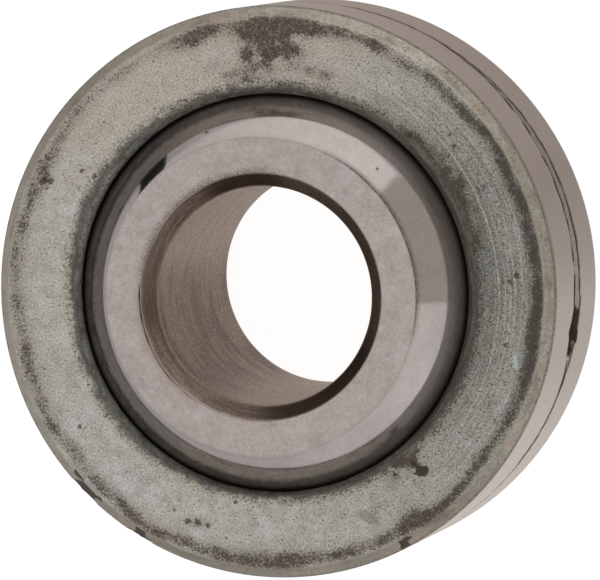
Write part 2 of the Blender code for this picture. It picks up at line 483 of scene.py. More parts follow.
def ring_section(angle):
    """Radius and height of every row and column of the ring, and the heights of the lap's lines.

    The section runs from the race over the lip and out on the front face, over the chamfered
    corner, down the ground outside, and back along the rear face to the race. The last value
    holds three rows: where the bend into the outside begins, and where the outside begins and ends.
    """
    lip_end = (LIP_CONTACT[0] + LIP_REACH[0], LIP_CONTACT[1])
    lip = arc(lip_end, LIP_REACH, 180.0, 90.0, count=11)
    inner = (RING_RADIUS - CORNER_RADIAL, FRONT_FACE)
    outer = (RING_RADIUS, FRONT_FACE - CORNER_AXIAL)
    face_bend = bend(lip[-1], inner, outer, EDGE_ROUND, count=4)
    edge_bend = bend(inner, outer, (RING_RADIUS, 0.0), EDGE_ROUND, count=4)[:-1]
    face = line(lip[-1], face_bend[0], count=40)[1:-1]
    chamfer = line(face_bend[-1], edge_bend[0], count=9)[1:-1]
    before = np.concatenate((lip, face, face_bend, chamfer, edge_bend))

    back_height = -BACK_FACE - BACK_LIP_RADIUS
    back_centre = math.sqrt((RACE_RADIUS + BACK_LIP_RADIUS) ** 2 - back_height**2)
    back_touch = math.degrees(math.atan2(back_height, back_centre))
    back_radii = (BACK_LIP_RADIUS, BACK_LIP_RADIUS)
    back_lip = arc((back_centre, -back_height), back_radii, -90.0, -back_touch - 180.0, count=5)
    back_outer = (RING_RADIUS, BACK_FACE + CORNER_AXIAL)
    back_inner = (RING_RADIUS - CORNER_RADIAL, BACK_FACE)
    back_edge = bend((RING_RADIUS, 0.0), back_outer, back_inner, EDGE_ROUND, count=3)[1:]
    back_bend = bend(back_outer, back_inner, back_lip[0], EDGE_ROUND, count=3)
    back_face = line(back_bend[-1], back_lip[0], count=8)[1:-1]
    front_touch = math.degrees(math.atan2(LIP_CONTACT[1], LIP_CONTACT[0]))
    race = arc((0.0, 0.0), (RACE_RADIUS, RACE_RADIUS), -back_touch, front_touch, count=11)[1:-1]
    after = np.concatenate((back_edge, back_bend, back_face, back_lip, race))

    heights, front, back = lap_rows(angle)
    flat = np.ones_like(angle)
    radius = np.concatenate(
        (before[:, :1] * flat, np.full_like(heights, RING_RADIUS), after[:, :1] * flat)
    )
    height = np.concatenate((before[:, 1:] * flat, heights, after[:, 1:] * flat))
    outside_rows = (len(before) - len(edge_bend), len(before), len(before) + len(heights))
    return radius, height, front, back, outside_rows


def lap_marks(angle, place, height, front, back):
    """Depth of the lap's lines, the painted shade along them, and the lap's floor, each up to about 1.

    Each line is a bell across its course, made uneven by ripples. The painted shade of the front
    line lies a little behind it, and the floor is full between the two.
    """
    uneven = np.clip(0.80 + 0.40 * ripples(place, 0.5, 13), 0.15, 1.4)
    front_line = bell(height - front, FRONT_LINE_WIDTH) * uneven
    frayed_bearing, frayed_reach = FRAYED_BACK_LINE
    frayed = np.clip(0.7 + ripples(place, 0.5, 20), 0.0, 1.6)
    frayed = 1.0 + 0.8 * bell(off(angle, frayed_bearing), frayed_reach) * frayed
    back_line = bell(height - back, BACK_LINE_WIDTH * frayed)
    back_line = back_line * np.clip(uneven + 0.25, 0.5, 1.3)
    behind = bell(height - front + FRONT_SHADOW_BEHIND, FRONT_SHADOW_WIDTH)
    lines = np.maximum(0.4 * front_line, back_line)
    return lines, np.maximum(behind * uneven, back_line), window(height, back, front, 0.02)


def pit_reach(angle, place, height):
    """Distance from the pit's middle, where 1 is its oval edge, made ragged by ripples."""
    along = np.radians(off(angle, PIT_BEARING)) * RING_RADIUS / PIT_HALF_LENGTH
    across = (height - PIT_HEIGHT) / PIT_HALF_WIDTH
    return np.hypot(along, across) + 0.12 * ripples(place, 0.45, 14)


def nick_marks(angle, place, radius, height):
    """How deep the outer corner is nicked, from 0 to 1: a ragged parabola along it at each nick."""
    nick = np.zeros_like(radius)
    ragged = 0.4 * ripples(place, 0.4, 31)
    for bearing, half in NICKS:
        nick = np.maximum(nick, np.clip(1.3 - (off(angle, bearing) / half + ragged) ** 2, 0.0, 1.0))
    nick = nick * above(radius + 0.04 * ripples(place, 0.3, 32), NICK_INNER_RADIUS, 0.05)
    return nick * (height > NICK_LOWEST)


def stain_strength(turn, radius, place):
    """How deep the brown stain is: a bell across its wandering course, and an oval bell per smudge."""
    course = np.array(STAIN_COURSE, float)
    middle, half, strength = (np.interp(turn, course[:, 0], course[:, row]) for row in (1, 2, 3))
    middle = middle + 0.040 * ripples(place, 1.6, 21) + 0.012 * ripples(place, 0.4, 22)
    uneven = np.clip(1.0 + 0.12 * ripples(place, 0.9, 23), 0.5, 1.4)
    total = strength * uneven * bell(radius - middle, half)
    blotchy = np.clip(1.0 + 0.22 * ripples(place, 0.45, 24), 0.3, 1.5)
    for *oval, depth in SMUDGES:
        total = total + depth * blotchy * bell(1.0 - ovals(place[..., 0], place[..., 1], (oval,)), 1.0)
    return total


def face_marks(turn, radius, place, in_front):
    """Masks of the plated front face. Flecks and marks are cones, 0 on their edge and -1 far off."""
    x, y = place[..., 0], place[..., 1]

    def on_face(cone):
        return np.clip(cone, -1.0, 1.0) * in_front - (1.0 - in_front)

    edge = np.interp(turn, *np.array(PLATING_EDGE, float).T)
    edge = edge + 0.022 * ripples(place, 0.55, 18) + 0.012 * ripples(place, 0.2, 19)
    turnings = np.zeros_like(radius)
    # Turned lines that carry the painted glint
    for middle, half in GLINTING_TURNINGS:
        turnings = np.maximum(turnings, bell(radius - middle, half))
    specks = np.full_like(radius, -9.0)
    for speck_x, speck_y, size in SPECKS:
        specks = np.maximum(specks, 1.0 - np.hypot(x - speck_x, y - speck_y) / size)
    return {
        "plated": on_face(radius - edge),
        "stain": stain_strength(turn, radius, place) * in_front,
        "turnings": turnings * in_front,
        "speck": on_face(specks),
        "chip": on_face(ovals(x, y, CHIP)),
        "flake": on_face(ovals(x, y, FLAKE)),
        "oval": on_face(ovals(x, y, (OVAL_MARK,))),
        "pale": on_face(ovals(x, y, (PALE_SPOT,))),
        "blue": bell(1.0 - ovals(x, y, (BLUE_SPOT,)), 1.0) * in_front,
    }


def make_ring():
    """The swaged ring with its lap, pit and nicks, and masks for where each finish, painted shade and
    painted highlight lies.
    """
    angle = bearings(RING_COLUMNS, PIT_BEARING, PIT_CROWDING_REACH, PIT_CROWDING)
    radius, height, front, back, (edge_row, outside_row, end_row) = ring_section(angle)
    place = turned_points(radius, height, angle)
    turn = np.degrees(angle)
    rows = np.arange(len(radius))[:, None]
    in_front = (rows < edge_row).astype(float)
    outside = ((rows >= edge_row) & (rows < end_row)).astype(float)
    edge = ((rows >= edge_row) & (rows < outside_row)).astype(float)

    lines, shadow, trough = lap_marks(angle, place, height, front, back)
    reach = pit_reach(angle, place, height)
    pit = outside * below(reach, 0.72, 0.25)
    # Painted shade in the pit and just past its edge
    pit_shade = below(reach, 0.93, 0.10)
    nick = nick_marks(angle, place, radius, height)
    corner = above(radius, CORNER_RIDGE + 0.01, 0.04) * in_front
    # Painted highlight along the corner's inner edge
    corner_highlight = bell(radius - CORNER_RIDGE, CORNER_HIGHLIGHT_WIDTH) * in_front
    skirted = stretch(angle, *SKIRT_STRETCH)
    skirt = outside * above(height, FRONT_FACE - CORNER_AXIAL - SKIRT_DEPTH * skirted, 0.03)
    face = face_marks(turn, radius, place, in_front)
    masks = {
        "ground": outside * (1.0 - trough) * (1.0 - pit) * (1.0 - skirt),
        # Painted shade along the lap's lines and in the pit
        "lap_shade": np.clip(outside * np.maximum(shadow, pit_shade), 0.0, 1.0),
        "trough": outside * trough,
        "corner": np.maximum(corner, skirt),
        # Painted shade on stretches of the corner
        "corner_shade": np.interp(turn, *np.array(CORNER_SHADE, float).T) * corner,
        "corner_highlight": corner_highlight * stretch(angle, *CORNER_HIGHLIGHT_STRETCH),
        "edge_line": edge * (1.0 - skirted),
        # One side of the face darker: partly patina, partly painted shade
        "patina_and_shade": bell(off(angle, PATINA_AND_SHADE_BEARING), PATINA_AND_SHADE_REACH) * in_front,
        "nick": nick,
        **face,
    }

    pocks = POCK_DEPTH * np.clip(1.0 + ripples(place, 0.35, 15), 0.0, 2.0)
    pocks = pocks + CHIP_DEPTH * above(face["chip"], 0.0, MARK_EDGE)
    pocks = pocks + FLAKE_DEPTH * above(face["flake"], 0.0, MARK_EDGE)
    lap = outside * (LAP_LINE_DEPTH * lines + LAP_FLOOR_DEPTH * trough)
    lift = -lap - PIT_DEPTH * pit - NICK_DEPTH * nick - in_front * pocks
    return closed_mesh("swaged_ring", turned_points(radius, height, angle, lift), masks)


def ball_section():
    """Radius and height down the ball's section, from the top of its bore round to the bore again."""
    half = BALL_HALF_WIDTH
    break_height = half - BALL_EDGE_BREAK
    break_radius = math.sqrt((BALL_RADIUS - BALL_EDGE_BREAK) ** 2 - break_height**2)
    touch = math.degrees(math.atan2(break_height, break_radius))
    bore_edge = (BORE_RADIUS, half - BORE_CHAMFER_AXIAL)
    face_edge = (CHAMFER_RADIUS, half)
    lower = bend((BORE_RADIUS, 0.0), bore_edge, face_edge, 0.02, count=3)
    upper = bend(bore_edge, face_edge, (break_radius, half), 0.015, count=3)
    chamfer = line(lower[-1], upper[0], count=9)[1:-1]
    burr = BURR_RADIUS + BURR_WIDTH * np.array([-0.6, 0.0, 0.7, 1.5, 2.6])
    burr = np.column_stack((burr, np.full(5, half)))
    flat = line(burr[-1], (break_radius, half), count=24)[1:]
    rim_radii = (BALL_EDGE_BREAK, BALL_EDGE_BREAK)
    rim = arc((break_radius, break_height), rim_radii, 90.0, touch, count=5)[1:]
    zone = arc((0.0, 0.0), (BALL_RADIUS, BALL_RADIUS), touch, 0.0, count=34)[1:]
    front = np.concatenate((lower, chamfer, upper, burr, flat, rim, zone))
    back = front[-2::-1] * (1.0, -1.0)
    bore = line(back[-1], front[0], count=20)[1:-1]
    return np.concatenate((front, back, bore))


def make_ball():
    """The bored ball with its burr, and masks for its zone, its chamfers, its rim and its smears, and for
    the painted light and shade on them.
    """
    angle = bearings(BALL_COLUMNS)
    section = ball_section()
    flat = np.ones_like(angle)
    radius = section[:, :1] * flat
    height = section[:, 1:] * flat
    place = turned_points(radius, height, angle)
    on_top = (height > 0.0).astype(float)
    on_flat = (np.abs(height) > BALL_HALF_WIDTH - 0.001).astype(float)
    flat_end = np.max(radius[np.abs(height - BALL_HALF_WIDTH) < 1e-6])

    burred = stretch(angle, 0.5 * (BURR_FROM + BURR_TO), 0.5 * (BURR_TO - BURR_FROM) - BURR_FADE, BURR_FADE)
    burr = bell(radius - BURR_RADIUS, BURR_WIDTH) * on_flat * on_top * burred
    burr = burr * np.clip(0.8 + 0.3 * ripples(place, 0.6, 41), 0.2, 1.2)
    # Painted highlight on the brim
    brim = bell(radius - BURR_RADIUS + BRIM_INSIDE, BRIM_WIDTH) * on_top * burred
    brim = brim * np.clip(0.7 + 0.4 * ripples(place, 0.4, 42), 0.0, 1.0)
    smear = below(radius, BURR_RADIUS + 0.02, 0.22) * on_flat * on_top * burred
    dusty = below(radius, CHAMFER_RADIUS + 0.01, 0.24) * on_flat * on_top
    # Painted shade along the rim's round
    rim = above(height, BALL_HALF_WIDTH - 0.010, 0.003) * (radius > flat_end - 0.001)
    zone = above(np.hypot(radius, height), BALL_RADIUS - 0.004, 0.004)
    specks = np.full_like(radius, -1.0)
    for bearing, speck_height, size in ZONE_SPECKS:
        across = np.radians(off(angle, bearing)) * BALL_RADIUS * 0.75
        specks = np.maximum(specks, 1.0 - np.hypot(across, height - speck_height) / size)
    masks = {
        "zone": zone,
        "chamfer": window(radius, BORE_RADIUS + 0.012, CHAMFER_RADIUS - 0.004, 0.008),
        "burr": burr,
        "burr_highlight": brim,
        "smear": smear,
        "dusty": dusty * stretch(angle, *DUSTY_FLAT),
        # Painted shade on part of the zone
        "shaded_zone": stretch(angle, *SHADED_ZONE) * zone * window(height, 0.0, SHADED_ZONE_TOP, 0.10),
        "zone_speck": specks,
        # Painted highlight along the bore's edge
        "bore_edge": window(radius, BORE_RADIUS + 0.001, BORE_RADIUS + 0.030, 0.006),
        "rim": rim * (0.18 + 0.72 * stretch(angle, *DARK_RIM)),
    }
    bored = section[:, 0] < BORE_RADIUS + 0.003
    points = turned_points(radius, height, angle, -BURR_DEPTH * burr)
    return closed_mesh("bored_ball", points, masks, bored & np.roll(bored, -1))


def shade(red, green, blue):
    """A colour given as it looks on a screen, 0 to 255, as the linear value that a shader takes."""
    screen = np.array((red, green, blue)) / 255.0
    linear = np.where(screen <= 0.04045, screen / 12.92, ((screen + 0.055) / 1.055) ** 2.4)
    return (*linear.tolist(), 1.0)


def heading(bearing):
    """The level direction of length 1 at a bearing."""
    turn = math.radians(bearing)
    return np.array((math.cos(turn), math.sin(turn), 0.0))


class Nodes:
    """A node tree. Each method adds a node or more and gives the output."""

    def __init__(self, tree):
        self.tree = tree

    def add(self, kind, **settings):
        node = self.tree.nodes.new(kind)
        for setting, value in settings.items():
            setattr(node, setting, value)
        return node

    def feed(self, socket, source):
        if isinstance(source, bpy.types.NodeSocket):
            self.tree.links.new(source, socket)
        else:
            socket.default_value = source

    def math(self, operation, *sources):
        node = self.add("ShaderNodeMath", operation=operation)
        for socket, source in zip(node.inputs, sources):
            self.feed(socket, source)
        return node.outputs[0]

    def times(self, product, *factors):
        for factor in factors:
            product = self.math("MULTIPLY", product, factor)
        return product

    def vector(self, operation, *sources, scale=None):
        node = self.add("ShaderNodeVectorMath", operation=operation)
        for socket, source in zip(node.inputs, sources):
            self.feed(socket, source)
        if scale is not None:
            node.inputs["Scale"].default_value = scale
        return node.outputs["Value" if operation in ("LENGTH", "DOT_PRODUCT") else "Vector"]

    def place_on_piece(self):
        """The place on the piece, in millimetres."""
        return self.vector("SCALE", self.add("ShaderNodeTexCoord").outputs["Object"], scale=1.0 / MM)

    def span(self, source, low, high, start=0.0, end=1.0):
        """Start below low and end above high, smooth between."""
        node = self.add("ShaderNodeMapRange", interpolation_type="SMOOTHSTEP")
        for socket, value in zip(node.inputs, (source, low, high, start, end)):
            self.feed(socket, value)
        return node.outputs[0]

    def blend(self, factor, first, second):
        """The first colour where the factor is 0, the second where it is 1."""
        node = self.add("ShaderNodeMix", data_type="RGBA")
        self.feed(node.inputs[0], factor)
        self.feed(node.inputs[6], first)
        self.feed(node.inputs[7], second)
        return node.outputs[2]

    def layers(self, colour, *layers):
        """The colour with each layer over the last: how strong the layer is, and its screen colour."""
        for strength, screen in layers:
            colour = self.blend(strength, colour, shade(*screen))
        return colour

    def noise(self, place, scale, detail=2.0, roughness=0.5):
        node = self.add("ShaderNodeTexNoise")
        self.feed(node.inputs["Vector"], place)
        node.inputs["Scale"].default_value = scale
        node.inputs["Detail"].default_value = detail
        node.inputs["Roughness"].default_value = roughness
        return node.outputs["Fac"]


class Finish(Nodes):
    """Node tree of one material, with places in millimetres and directions round the axis."""

    def __init__(self, name):
        self.material = bpy.data.materials.new(name)
        self.material.use_nodes = True
        super().__init__(self.material.node_tree)
        self.shader = self.tree.nodes["Principled BSDF"]
        self.place = self.place_on_piece()
        flat = self.vector("MULTIPLY", self.place, (1.0, 1.0, 0.0))
        self.radius = self.vector("LENGTH", flat)
        self.around = self.vector("NORMALIZE", flat)
        split = self.add("ShaderNodeSeparateXYZ")
        self.feed(split.inputs[0], self.place)
        self.height = split.outputs["Z"]

    def towards(self, bearing):
        """Cosine of the angle from a bearing: 1 on it, 0 a quarter turn off."""
        return self.vector("DOT_PRODUCT", self.around, Vector(heading(bearing)))

    def apart(self, *shift):
        """The place moved away, so that a noise there has nothing to do with the others."""
        return self.vector("ADD", self.place, shift)

    def turned(self, around, across, along=0.0):
        """Coordinates drawn out round the axis: cells per radian, per mm of radius and of height."""
        spread = self.vector("SCALE", self.around, scale=around)
        rise = self.times(self.height, along)
        reach = self.math("MULTIPLY_ADD", self.radius, across, rise)
        lift = self.add("ShaderNodeCombineXYZ")
        self.feed(lift.inputs["Z"], reach)
        return self.vector("ADD", spread, lift.outputs[0])

    def mask(self, name):
        return self.add("ShaderNodeAttribute", attribute_name=name).outputs["Fac"]

    def worried(self, mask, noise, amount):
        """The mask, raised and lowered by the noise."""
        return self.math("MULTIPLY_ADD", self.math("SUBTRACT", noise, 0.5), amount, mask)

    def ragged(self, mask, noise, amount, low, high):
        """1 where the mask, worried by the noise, is over high, and 0 where it is under low."""
        return self.span(self.worried(self.mask(mask), noise, amount), low, high)

    def bump(self, height, depth, normal=None):
        """Bump of the given depth in millimetres where the height runs from 0 to 1."""
        node = self.add("ShaderNodeBump")
        node.inputs["Distance"].default_value = depth * MM
        self.feed(node.inputs["Height"], height)
        if normal is not None:
            self.feed(node.inputs["Normal"], normal)
        return node.outputs[0]

    def surface(self, colour, metallic, roughness, normal):
        self.feed(self.shader.inputs["Base Color"], colour)
        self.feed(self.shader.inputs["Metallic"], metallic)
        self.feed(self.shader.inputs["Roughness"], roughness)
        self.feed(self.shader.inputs["Normal"], normal)
        return self.material


class RingFinish(Finish):
    """The ring's node tree, with the noises and masks that more than one of its layers reads."""

    def __init__(self):
        super().__init__("zinc plated and ground steel")
        self.cloud = self.noise(self.place, 0.55, 3.0, 0.55)
        self.mottle = self.noise(self.place, 2.4, 5.0, 0.62)
        self.grain = self.noise(self.place, 8.0, 4.0, 0.70)
        self.fine = self.noise(self.place, 15.0, 3.0, 0.75)
        self.dust = self.noise(self.apart(31.0, 17.0, 5.0), 18.0, 2.0, 0.75)
        self.olive = self.noise(self.apart(7.0, 3.0, 9.0), 0.8, 4.0, 0.6)
        self.rosy = self.noise(self.apart(3.0, 8.0, 1.0), 1.3, 4.0, 0.65)
        self.streak = self.noise(self.turned(4.0, 12.0), 1.0, 5.0, 0.72)
        self.drawn = self.noise(self.turned(9.0, 0.0, 22.0), 1.0, 3.0, 0.6)
        self.patina_and_shade = self.mask("patina_and_shade")
        self.plated = self.mask("plated")
        self.worn = self.worried(self.plated, self.fine, 0.5)
        self.stain = self.times(self.mask("stain"), self.span(self.mottle, 0.25, 0.65, 0.70, 1.20))
        # Polished turned lines: they hold off the tarnish and carry a painted glint
        self.polish_and_glint = self.times(self.mask("turnings"), self.span(self.streak, 0.34, 0.60, 1.0, 0.3))
        crowd = self.times(self.span(self.stain, 0.2, 1.3), 0.16)
        crowd = self.math("MULTIPLY_ADD", self.patina_and_shade, 0.06, crowd)
        self.crowd = self.math("ADD", crowd, self.span(self.plated, 0.0, 0.32, 0.13, 0.0))
        self.peppered = self.span(self.math("ADD", self.fine, self.crowd), 0.60, 0.68)


def zinc_plating(f):
    """Mottled zinc, darker and turned in fine lines on the side of patina and painted shade, and shaded near
    the lip.
    """
    lines = f.noise(f.turned(2.5, 26.0), 1.0, 2.0, 0.6)
    zinc = f.blend(f.span(f.cloud, 0.38, 0.62), shade(180, 177, 170), shade(186, 186, 183))
    zinc = f.blend(f.span(f.mottle, 0.32, 0.62), shade(163, 159, 152), zinc)
    unpolished = f.math("SUBTRACT", 1.0, f.polish_and_glint)
    # Tarnish on the darker side, which is partly patina and partly painted shade
    tarnish = f.times(f.patina_and_shade, f.span(f.streak, 0.30, 0.62, 0.62, 1.0), unpolished)
    tarnish = f.times(tarnish, f.span(f.radius, 6.6, 7.2, 1.0, 0.72))
    shaded = f.times(f.span(f.plated, 0.0, 0.34, 1.0, 0.0), f.span(f.cloud, 0.35, 0.7, 0.30, 0.75))
    return f.layers(
        zinc,
        (tarnish, (112, 111, 105)),
        (f.times(f.patina_and_shade, f.span(lines, 0.54, 0.66, 0.0, 0.6)), (158, 156, 148)),
        (f.times(f.patina_and_shade, f.span(lines, 0.30, 0.44, 0.5, 0.0)), (86, 84, 78)),
        (f.times(f.mask("blue"), 0.45), (108, 114, 118)),
        (f.span(f.olive, 0.50, 0.66, 0.0, 0.28), (162, 161, 138)),
        (f.span(f.rosy, 0.54, 0.68, 0.0, 0.30), (158, 143, 132)),
        (f.span(f.towards(107.5), 0.55, 0.95, 0.0, 0.55), (174, 164, 150)),
        (shaded, (118, 116, 108)),
    )


def stained(f, zinc):
    """Brown stain soaked into the zinc, dark grains that crowd in it, light dust, and a painted glint on the
    turned lines.
    """
    brown = f.blend(f.span(f.patina_and_shade, 0.3, 0.8), shade(116, 102, 91), shade(78, 76, 69))
    zinc = f.blend(f.math("MINIMUM", f.times(f.stain, 0.60), 0.76), zinc, brown)
    clotted = f.span(f.math("ADD", f.grain, f.crowd), 0.65, 0.72)
    zinc = f.layers(
        zinc,
        (f.times(f.peppered, 0.78), (57, 52, 45)),
        (f.times(clotted, 0.7), (62, 57, 50)),
    )
    dusted = f.span(f.math("SUBTRACT", f.dust, f.times(f.crowd, 0.3)), 0.56, 0.68)
    dusted = f.times(dusted, f.span(f.patina_and_shade, 0.2, 0.9, 0.66, 0.62))
    zinc = f.blend(dusted, zinc, f.blend(f.patina_and_shade, shade(216, 214, 206), shade(190, 188, 180)))
    # Painted glint along the turned lines, towards one bearing only
    glint = f.times(f.polish_and_glint, f.span(f.patina_and_shade, 0.1, 0.6, 0.0, 0.82))
    glint = f.times(glint, f.span(f.towards(19.9), 0.50, 0.80, 0.15, 1.0))
    gritty = f.math("SUBTRACT", f.dust, f.times(f.crowd, 0.5))
    return f.layers(
        zinc,
        (f.times(glint, f.span(f.grain, 0.36, 0.58, 1.0, 0.30)), (174, 172, 162)),
        (f.span(gritty, 0.34, 0.46, 0.55, 0.0), (92, 87, 79)),
    )


def corner_band(f):
    """Lighter, yellower plating of the chamfered corner, with painted shade on some stretches, and drawn-out
    flecks.
    """
    drawn_out = f.noise(f.turned(7.0, 18.0, 14.0), 1.0, 3.0, 0.6)
    return f.layers(
        f.blend(f.span(f.mottle, 0.3, 0.7), shade(141, 139, 128), shade(170, 167, 156)),
        (f.span(f.fine, 0.40, 0.60, 0.5, 0.0), (190, 187, 173)),
        (f.span(f.dust, 0.50, 0.66, 0.0, 0.4), (104, 98, 86)),
        # Painted shade on stretches of the corner
        (f.times(f.mask("corner_shade"), f.span(f.grain, 0.3, 0.6, 1.0, 0.7)), (112, 105, 95)),
        (f.span(f.rosy, 0.42, 0.58, 0.0, 0.60), (154, 138, 126)),
        (f.span(f.grain, 0.54, 0.64, 0.0, 0.55), (98, 86, 75)),
        (f.span(drawn_out, 0.54, 0.66, 0.0, 0.45), (104, 94, 84)),
    )


def marked(f, zinc):
    """The single marks of the face, each with a ragged edge, and the painted highlight along the corner's
    inner edge.
    """
    return f.layers(
        zinc,
        (f.times(f.ragged("pale", f.grain, 0.8, 0.0, 0.35), 0.6), (176, 186, 190)),
        (f.times(f.ragged("oval", f.grain, 1.1, 0.05, 0.25), 0.45), (112, 104, 92)),
        (f.times(f.ragged("speck", f.fine, 1.6, 0.05, 0.45), 0.80), (66, 58, 50)),
        (f.times(f.ragged("flake", f.grain, 1.5, -0.18, 0.12), 0.9), (82, 68, 62)),
        (f.times(f.ragged("chip", f.grain, 1.4, -0.02, 0.16), 0.95), (58, 54, 46)),
        # Painted highlight along the corner's inner edge
        (f.times(f.mask("corner_highlight"), f.span(f.grain, 0.36, 0.52, 0.1, 0.6)), (188, 185, 170)),
    )


def lip_edge(f, zinc):
    """Light flakes where the plating ends at the lip, and inside them the lip's bare dark steel, with
    painted light on its innermost band and painted shade on the darker side.
    """
    fringe = f.times(f.span(f.worn, 0.0, 0.04), f.span(f.worn, 0.07, 0.18, 1.0, 0.0))
    fringe = f.times(fringe, f.span(f.mottle, 0.46, 0.60, 0.0, 0.50), f.span(f.patina_and_shade, 0.1, 0.6, 1.0, 0.25))
    flaky = f.noise(f.apart(5.0, 2.0, 6.0), 3.4, 4.0, 0.7)
    flaky = f.times(f.span(flaky, 0.52, 0.60), f.span(f.worn, 0.20, 0.65, 0.75, 0.0))
    flaky = f.times(flaky, f.span(f.patina_and_shade, 0.02, 0.5, 1.0, 0.1), f.span(f.olive, 0.44, 0.56, 0.12, 1.0))
    flaky = f.times(flaky, f.span(f.towards(214.8), 0.35, 0.75, 0.0, 1.0))
    zinc = f.layers(zinc, (fringe, (190, 187, 172)), (flaky, (184, 182, 162)))
    lip = f.layers(
        # Painted light on the lip's innermost band
        f.blend(f.span(f.plated, -0.28, -0.10), shade(150, 149, 145), shade(89, 88, 83)),
        # Painted shade on the darker side of the lip
        (f.span(f.patina_and_shade, 0.0, 0.7, 0.0, 0.75), (74, 72, 67)),
        (f.span(f.streak, 0.40, 0.66, 0.0, 0.6), (132, 130, 121)),
        (f.span(f.fine, 0.52, 0.62, 0.0, 0.7), (64, 60, 55)),
        (f.span(f.grain, 0.50, 0.66, 0.0, 0.5), (74, 68, 62)),
    )
    return f.blend(f.span(f.worn, -0.08, 0.08), lip, zinc)


def ground_steel(f):
    """Bare steel of the outside, with fine grinding lines round it and one stretch of painted shade."""
    return f.layers(
        f.blend(f.span(f.grain, 0.3, 0.7), shade(172, 159, 150), shade(187, 174, 164)),
        (f.span(f.drawn, 0.35, 0.75, 0.0, 0.35), (160, 146, 136)),
        (f.span(f.fine, 0.50, 0.66, 0.0, 0.34), (124, 108, 98)),
        (f.span(f.fine, 0.34, 0.46, 0.34, 0.0), (204, 192, 182)),
        # Painted shade on the outside near bearing 15
        (f.span(f.towards(15.0), 0.95, 0.997, 0.0, 0.55), (148, 132, 120)),
    )


def ring_finish():
    """Zinc plating on the faces and corners, bare ground steel outside, painted shade in the lap's lines and
    pit.
    """
    f = RingFinish()
    zinc = stained(f, zinc_plating(f))
    zinc = f.blend(f.times(f.mask("corner"), 0.85), zinc, corner_band(f))
    zinc = lip_edge(f, marked(f, zinc))
    ground = f.mask("ground")
    colour = f.blend(ground, zinc, ground_steel(f))
    nick = f.ragged("nick", f.grain, 0.9, 0.20, 0.55)
    colour = f.layers(colour, (f.times(nick, 0.92), (62, 55, 48)))
    flecked = f.blend(f.span(f.fine, 0.38, 0.58), shade(186, 176, 161), shade(122, 110, 98))
    colour = f.blend(f.times(f.mask("trough"), 0.7), colour, flecked)
    # Painted shade of the lap's lines and pit: dark, rough and not metallic
    lap_shade = f.ragged("lap_shade", f.fine, 0.5, 0.10, 0.70)
    colour = f.layers(
        colour,
        (f.times(f.mask("edge_line"), 0.28), (96, 86, 77)),
        (lap_shade, (50, 40, 33)),
    )
    roughness = f.math("MAXIMUM", f.span(ground, 0.0, 1.0, 0.50, 0.34), lap_shade)
    normal = f.bump(f.math("ADD", f.grain, f.fine), 0.004)
    normal = f.bump(f.times(f.peppered, -1.0), 0.006, normal)
    normal = f.bump(f.times(f.drawn, ground), 0.002, normal)
    return f.surface(colour, f.math("MULTIPLY_ADD", lap_shade, -0.92, 0.92), roughness, normal)


def flat_steel(f, grain, fine):
    """Ground steel of the ball's flat faces: fine grain, soft clouds and blotches, a few scratches."""
    cloud = f.noise(f.place, 0.8, 2.0, 0.5)
    blotch = f.noise(f.apart(2.0, 9.0, 4.0), 2.2, 4.0, 0.65)
    scratched = f.noise(f.vector("MULTIPLY", f.place, (14.0, 2.0, 1.0)), 1.0, 3.0, 0.6)
    return f.layers(
        f.blend(f.span(grain, 0.32, 0.68), shade(166, 156, 152), shade(182, 173, 169)),
        (f.span(cloud, 0.35, 0.65, 0.0, 0.35), (176, 166, 166)),
        (f.times(f.span(fine, 0.45, 0.65), 0.45), (140, 130, 124)),
        (f.span(blotch, 0.50, 0.66, 0.0, 0.42), (150, 136, 132)),
        (f.span(blotch, 0.34, 0.46, 0.35, 0.0), (190, 182, 180)),
        (f.span(scratched, 0.60, 0.70, 0.0, 0.30), (138, 126, 122)),
    )


def chamfer_steel(f, grain):
    """Turned steel of the bore's chamfer, in stretches of painted light and shade round the axis."""
    scored = f.noise(f.turned(3.0, 0.0, 12.0), 1.0, 3.0, 0.6)
    leftward = f.towards(177.1)
    return f.layers(
        f.blend(f.span(scored, 0.35, 0.65), shade(120, 108, 99), shade(150, 137, 128)),
        # Painted shade and painted light by bearing, for the chamfer's reflections
        (f.span(leftward, 0.90, 0.995, 0.0, 0.7), (98, 87, 78)),
        (f.span(leftward, -0.2, 0.3, 0.3, 0.0), (190, 178, 168)),
        (f.span(f.towards(72.5), 0.80, 0.97, 0.0, 0.5), (184, 172, 160)),
        (f.span(f.towards(99.8), 0.90, 0.985, 0.0, 0.7), (54, 46, 40)),
        (f.span(f.towards(304.8), 0.70, 0.93, 0.0, 0.8), (70, 60, 52)),
        (f.span(grain, 0.46, 0.62, 0.0, 0.5), (88, 78, 70)),
    )


